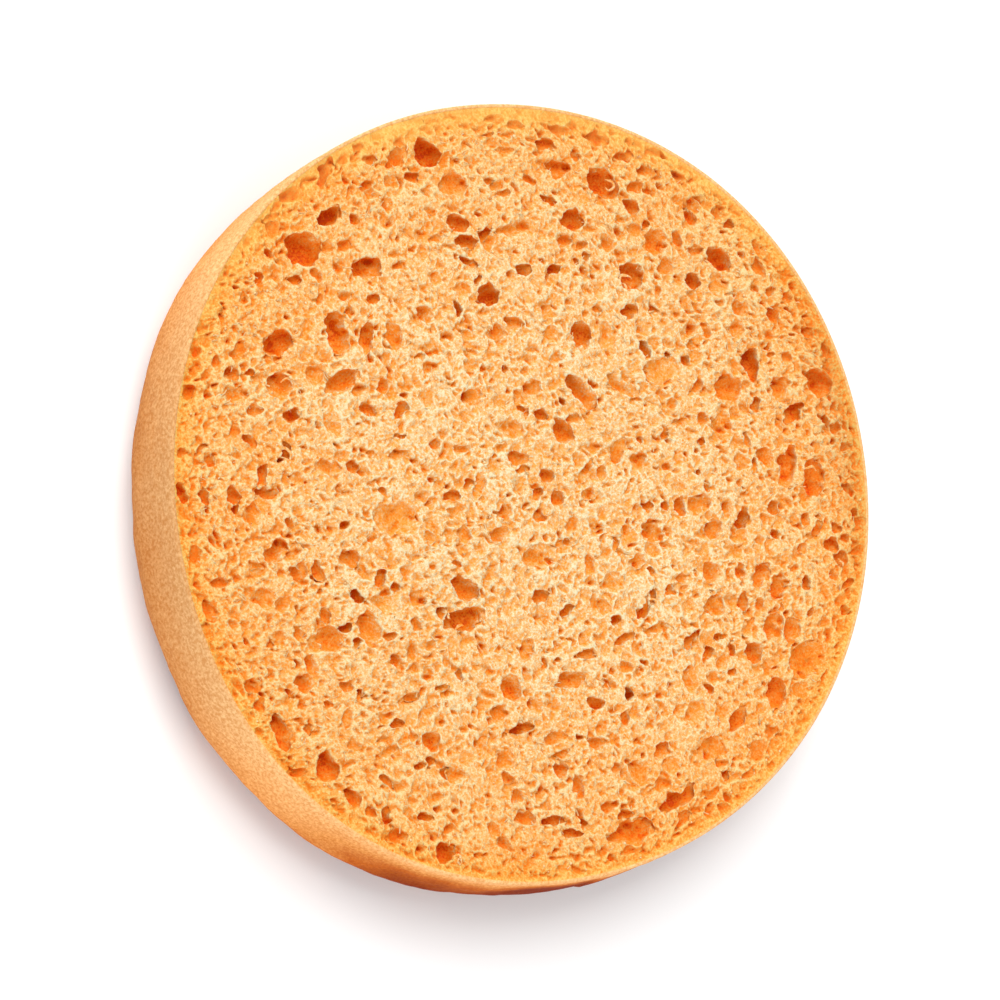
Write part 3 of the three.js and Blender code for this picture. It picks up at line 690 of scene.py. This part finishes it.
# ---------- materials
class Wiring:
    """Adds nodes to one tree. An input's value is a number, a colour or another node's output."""

    def __init__(self, tree):
        self.tree = tree

    def add(self, kind, inputs=None, **settings):
        made = self.tree.nodes.new(kind)
        for name, value in settings.items():
            setattr(made, name, value)
        for name, value in (inputs or {}).items():
            if isinstance(value, bpy.types.NodeSocket):
                self.tree.links.new(value, made.inputs[name])
            else:
                made.inputs[name].default_value = value
        return made

    def out(self, kind, inputs=None, **settings):
        """Adds a node and gives its first output."""
        return self.add(kind, inputs, **settings).outputs[0]

    def math(self, operation, a, b=0.0, clamp=False):
        return self.out("ShaderNodeMath", {0: a, 1: b}, operation=operation, use_clamp=clamp)

    def beyond(self, value, start, gain):
        """0 up to the start, then growing with the gain to 1."""
        return self.math("MULTIPLY", self.math("SUBTRACT", value, start), gain, clamp=True)

    def around(self, value, middle, gain):
        """How far the value is from the middle, either way, times the gain."""
        return self.math("MULTIPLY", self.math("SUBTRACT", value, middle), gain)

    def offset(self, noise, reach):
        """A colour noise as a vector that points any way, up to this reach."""
        centred = self.out("ShaderNodeVectorMath", {0: noise, 1: (0.5, 0.5, 0.5)},
                           operation="SUBTRACT")
        return self.out("ShaderNodeVectorMath", {0: centred, "Scale": reach}, operation="SCALE")

    def mix(self, share, a, b, blend="MIX"):
        made = self.add("ShaderNodeMix", {"Factor": share}, data_type="RGBA", blend_type=blend)
        for socket, value in ((made.inputs[6], a), (made.inputs[7], b)):
            if isinstance(value, bpy.types.NodeSocket):
                self.tree.links.new(value, socket)
            else:
                socket.default_value = (*value, 1)
        return made.outputs[2]

    def tinted(self, share, colour, tint):
        """The colour, of which a share is multiplied by the tint."""
        return self.mix(share, colour, self.mix(1.0, colour, tint, "MULTIPLY"))

    def ramp(self, share, stops):
        """Colour that goes through the stops, (place, red, green, blue as seen) each."""
        made = self.add("ShaderNodeValToRGB", {"Fac": share})
        elements = made.color_ramp.elements
        while len(elements) < len(stops):
            elements.new(1)
        for element, (place, *colour) in zip(elements, stops):
            element.position = place
            element.color = (*linear(*colour), 1)
        return made.outputs["Color"]


def linear(red, green, blue):
    """A colour as seen, 0 to 255, in the linear values that shaders take."""
    def one(value):
        value /= 255
        return value / 12.92 if value <= 0.04045 else ((value + 0.055) / 1.055) ** 2.4
    return one(red), one(green), one(blue)


def new_material(name, roughness, specular=0.3):
    """A material, its wiring and its Principled shader, with the values that don't vary."""
    material = bpy.data.materials.new(name)
    material.use_nodes = True
    tree = material.node_tree
    shader = tree.nodes["Principled BSDF"]
    shader.inputs["Roughness"].default_value = roughness
    shader.inputs["Specular IOR Level"].default_value = specular
    return material, Wiring(tree), shader


def finish(wires, shader, colour, relief, strength, reach):
    """Gives a shader its colour, and a relief that reaches this many millimetres."""
    bump = wires.out("ShaderNodeBump",
                     {"Strength": strength, "Distance": reach * MM, "Height": relief})
    wires.tree.links.new(colour, shader.inputs["Base Color"])
    wires.tree.links.new(bump, shader.inputs["Normal"])


def fine_grain_group():
    """Shared by the finishes: soft mottling and a fine grain, which is also a colour."""
    group = bpy.data.node_groups.new("fine_grain", "ShaderNodeTree")
    add_sockets(group, "INPUT", "Vector", ("Vector",))
    add_sockets(group, "INPUT", "Float", ("Mottle Size", "Grain Size"))
    add_sockets(group, "OUTPUT", "Float", ("Mottle", "Grain"))
    add_sockets(group, "OUTPUT", "Color", ("Grain Colour",))
    wires = Wiring(group)
    given = wires.add("NodeGroupInput").outputs

    def noise(size):
        scale = wires.math("DIVIDE", 1.0, size)
        return wires.add("ShaderNodeTexNoise",
                         {"Vector": given["Vector"], "Scale": scale, "Detail": 2.0,
                          "Roughness": 0.6}).outputs

    fine = noise(given["Grain Size"])
    wires.add("NodeGroupOutput", {"Mottle": noise(given["Mottle Size"])["Fac"],
                                  "Grain": fine["Fac"], "Grain Colour": fine["Color"]})
    return group


def use_grain(wires, group, mottle, grain):
    """The place, and the grain's outputs for these sizes in millimetres."""
    place = wires.add("ShaderNodeTexCoord").outputs["Object"]
    made = wires.add("ShaderNodeGroup", {"Vector": place}, node_tree=group)
    made.inputs["Mottle Size"].default_value = mottle * MM
    made.inputs["Grain Size"].default_value = grain * MM
    return place, made.outputs


def pinhole_mask(wires, place):
    """1 in the finest holes of the crumb, in some of the cells of a small random pattern."""
    cell = wires.add("ShaderNodeTexVoronoi", {"Vector": place, "Scale": 1 / (0.45 * MM)}).outputs
    chance = wires.add("ShaderNodeSeparateColor", {"Color": cell["Color"]}).outputs["Red"]
    radius = wires.around(chance, 0.25, 0.6)
    inside = wires.math("SUBTRACT", radius, cell["Distance"])
    return wires.math("MULTIPLY", inside, 9.0, clamp=True)


def wander(wires, place, noise, reach):
    """The place moved up to this far by a colour noise, so that patterns on it wander."""
    moved = wires.offset(noise, reach)
    return wires.out("ShaderNodeVectorMath", {0: place, 1: moved}, operation="ADD")


def web_mask(wires, place, size):
    """1 along the thin pale walls between the smallest cells, of this size in millimetres."""
    edge = wires.add("ShaderNodeTexVoronoi", {"Vector": place, "Scale": 1 / (size * MM)},
                     feature="DISTANCE_TO_EDGE").outputs["Distance"]
    return wires.math("SUBTRACT", 1.0, wires.math("DIVIDE", edge, 0.14), clamp=True)


def side_share(wires, place, direction, start, gain):
    """0 as far as the start, then growing towards 1 at the edge that lies in a direction."""
    towards = [part / (FACE_RADIUS * MM) for part in direction]
    along = wires.add("ShaderNodeVectorMath", {0: place, 1: towards},
                      operation="DOT_PRODUCT").outputs["Value"]
    return wires.beyond(along, start, gain)


def crumb_material(grain_group):
    """Cream wall tops that deepen through orange to red-brown in the pockets, as painted shade of the
    hollows.
    """
    material, wires, shader = new_material("crumb", roughness=0.6, specular=0.15)
    place, grain = use_grain(wires, grain_group, mottle=9, grain=0.28)
    tone = wires.add("ShaderNodeAttribute", attribute_name="tone")
    parts = wires.add("ShaderNodeSeparateColor", {"Color": tone.outputs["Color"]}).outputs
    place = wander(wires, place, grain["Grain Colour"], 0.45 * MM)
    pinholes = pinhole_mask(wires, place)
    web = wires.math("ADD", web_mask(wires, place, 1.0), web_mask(wires, place, 0.55))
    painted_relief_shade = wires.around(parts["Green"], 0.5, 1.3)
    sunk = wires.math("SUBTRACT", parts["Red"], 0.02)
    deep = wires.math("SUBTRACT", sunk, painted_relief_shade)
    shallow = wires.math("SUBTRACT", 0.55, wires.math("MULTIPLY", parts["Red"], 0.5), clamp=True)
    # Painted shade in the pinholes, and less of it along the thin walls of the web.
    deep = wires.math("ADD", deep, wires.math("MULTIPLY", pinholes, shallow))
    deep = wires.math("SUBTRACT", deep, wires.math("MULTIPLY", web, 0.2))
    speckled = wires.math("ADD", 1.0, parts["Red"])
    fine = wires.around(grain["Grain"], 0.43, speckled)
    deep = wires.math("ADD", deep, fine)
    varied = wires.around(grain["Mottle"], 0.5, 0.12)
    deep = wires.math("MULTIPLY", wires.math("ADD", deep, varied), 0.7, clamp=True)
    # Painted shade: the colour darkens with depth and where a point sits below its neighbours, and is
    # lighter on walls that stand out.
    colour = wires.ramp(deep, (
        (0.0, 226, 213, 174), (0.08, 226, 197, 149), (0.17, 228, 180, 122), (0.35, 230, 157, 76),
        (0.55, 233, 141, 38), (0.75, 236, 123, 11), (1.0, 214, 86, 4)))
    outer = wires.math("POWER", tone.outputs["Alpha"], 3.0)
    golden = wires.math("ADD", wires.math("MULTIPLY", parts["Blue"], 0.3),
                        wires.math("MULTIPLY", outer, 0.8), clamp=True)
    colour = wires.tinted(golden, colour, linear(255, 222, 150))
    # Painted glow: the rim on the far side is made lighter and golden, as if lit through from behind.
    far = wires.math("MULTIPLY", side_share(wires, place, (-1, 0, 0), 0.45, 2.0), 0.35)
    painted_rim_glow = wires.math("MULTIPLY", far, parts["Blue"])
    colour = wires.mix(painted_rim_glow, colour, linear(252, 198, 102))
    shaded = side_share(wires, place, (0, 1, 0), 0.86, 9.0)
    colour = wires.tinted(shaded, colour, linear(242, 235, 233))
    relief = wires.math("ADD", wires.math("SUBTRACT", grain["Grain"], pinholes), web)
    finish(wires, shader, colour, relief, strength=0.5, reach=0.07)
    return material


def wisp_material(grain_group):
    """Pale torn cell walls and crumbs, a little golden in places."""
    material, wires, shader = new_material("wisps", roughness=0.5)
    _, grain = use_grain(wires, grain_group, mottle=1.5, grain=0.3)
    colour = wires.ramp(grain["Mottle"], (
        (0.3, 228, 206, 162), (0.5, 226, 192, 138), (0.7, 222, 168, 104)))
    wires.tree.links.new(colour, shader.inputs["Base Color"])
    return material


PAINTED_SHADE_SIDE = (-0.1, -0.98, 0.0)   # painted shade dulls the flank that faces this way


def crust_material(grain_group):
    """Thin matte tan skin with a fine grain, browner towards the base and on one flank, with painted
    shade on another.
    """
    material, wires, shader = new_material("crust", roughness=0.7, specular=0.05)
    place, grain = use_grain(wires, grain_group, mottle=12, grain=0.4)
    height = wires.math("DIVIDE", wires.add("ShaderNodeSeparateXYZ", {0: place}).outputs["Z"],
                        HEIGHT * MM)
    mottled = wires.around(grain["Mottle"], 0.5, 0.5)
    # Darker towards the base on the flank that faces +X.
    darker_flank = side_share(wires, place, (1, 0, 0), 0.5, 2.1)
    lost = wires.math("SUBTRACT", height, wires.math("POWER", height, 9.0))
    level = wires.math("SUBTRACT", height, wires.math("MULTIPLY", lost, darker_flank))
    level = wires.math("ADD", level, mottled, clamp=True)
    colour = wires.ramp(level, (
        (0.0, 132, 46, 3), (0.18, 194, 103, 32), (0.34, 226, 155, 84),
        (0.6, 240, 180, 116), (1.0, 243, 197, 140)))
    fine = wires.beyond(grain["Grain"], 0.36, 3.0)
    colour = wires.mix(fine, wires.mix(1.0, colour, linear(226, 200, 170), "MULTIPLY"), colour)
    # Painted shade: that flank is greyed and darkened.
    painted_flank_shade = side_share(wires, place, PAINTED_SHADE_SIDE, 0.78, 4.5)
    colour = wires.tinted(painted_flank_shade, colour, linear(219, 211, 206))
    finish(wires, shader, colour, grain["Grain"], strength=0.8, reach=0.12)
    return material


# ---------- studio
VIEW_TILT = 26.9                  # the view leans this far from straight down
VIEW_ROLL = 79.4                  # and is turned, so the side it leans to is on the left
VIEW_DISTANCE = 343.8
VIEW_AIM = (0.0, -6.0)            # from the face's middle
LENS = 98.9
LAMP_DISTANCE = 3.0               # in metres


def camera():
    data = bpy.data.cameras.new("camera")
    data.lens = LENS
    data.sensor_width = 36
    data.clip_start = 0.01
    eye = in_scene("camera", data)
    aim = Vector((FACE_CENTRE[0] + VIEW_AIM[0], FACE_CENTRE[1] + VIEW_AIM[1], HEIGHT))
    eye.matrix_world = (Matrix.Translation(aim * MM)
                        @ Matrix.Rotation(math.radians(VIEW_TILT), 4, "X")
                        @ Matrix.Rotation(math.radians(VIEW_ROLL), 4, "Z")
                        @ Matrix.Translation((0, 0, VIEW_DISTANCE * MM)))
    bpy.context.scene.camera = eye


def area_light(name, direction, size, power, colour=(1, 1, 1)):
    """A square soft light that shines on the bun from a direction, out of the camera's sight."""
    data = bpy.data.lights.new(name, "AREA")
    data.size = size
    data.energy = power
    data.color = colour
    lamp = in_scene(name, data)
    towards = Vector(direction).normalized()
    lamp.location = towards * LAMP_DISTANCE
    lamp.visible_camera = False
    lamp.rotation_euler = towards.to_track_quat("Z", "Y").to_euler()


def studio():
    area_light("key", (-0.8, -0.1, 1.2), size=1.9, power=58)
    area_light("back_glow", (-1.0, 0.1, 0.4), size=1.5, power=43, colour=(1.0, 0.92, 0.8))
    area_light("side_fill", (1.0, -0.55, 0.45), size=1.6, power=46)
    world = bpy.data.worlds.new("soft_room")
    world.use_nodes = True
    room = world.node_tree.nodes["Background"].inputs
    room["Color"].default_value = (1, 1, 1, 1)
    room["Strength"].default_value = 0.63
    bpy.context.scene.world = world
    bpy.context.scene.view_settings.view_transform = "Standard"

    bpy.ops.mesh.primitive_plane_add(size=20)
    floor = bpy.context.object
    floor.name = "floor"
    material, _, shader = new_material("pale_floor", roughness=0.9, specular=0.5)
    shader.inputs["Base Color"].default_value = (0.93, 0.93, 0.93, 1)
    floor.data.materials.append(material)


# ---------- build
camera()
studio()
grain_group = fine_grain_group()
face_points, cell_owner, face_tone = crumb_sheet()
crumb = crumb_material(grain_group)
crumb_pieces(face_points, cell_owner, face_tone, crumb)
crust_piece(crust_material(grain_group))
wisps = wisp_material(grain_group)
strewn_piece("torn_threads", face_ground(face_points, 47), thread, wisps,
             {"Density": 0.5 / MM ** 2, "Smallest": 0.5 * MM, "Largest": 1.5 * MM,
              "Bend": 1.0 * MM, "Bend Size": 0.8 * MM, "Lift": -0.02 * MM, "Seed": 5})
strewn_piece("loose_crumbs", face_ground(face_points, 48), morsel, wisps,
             {"Density": 0.12 / MM ** 2, "Smallest": 0.12 * MM, "Largest": 0.42 * MM,
              "Bend": 0.35 * MM, "Bend Size": 0.3 * MM, "Lift": 0.05 * MM, "Seed": 8})
curls_piece(crumb)
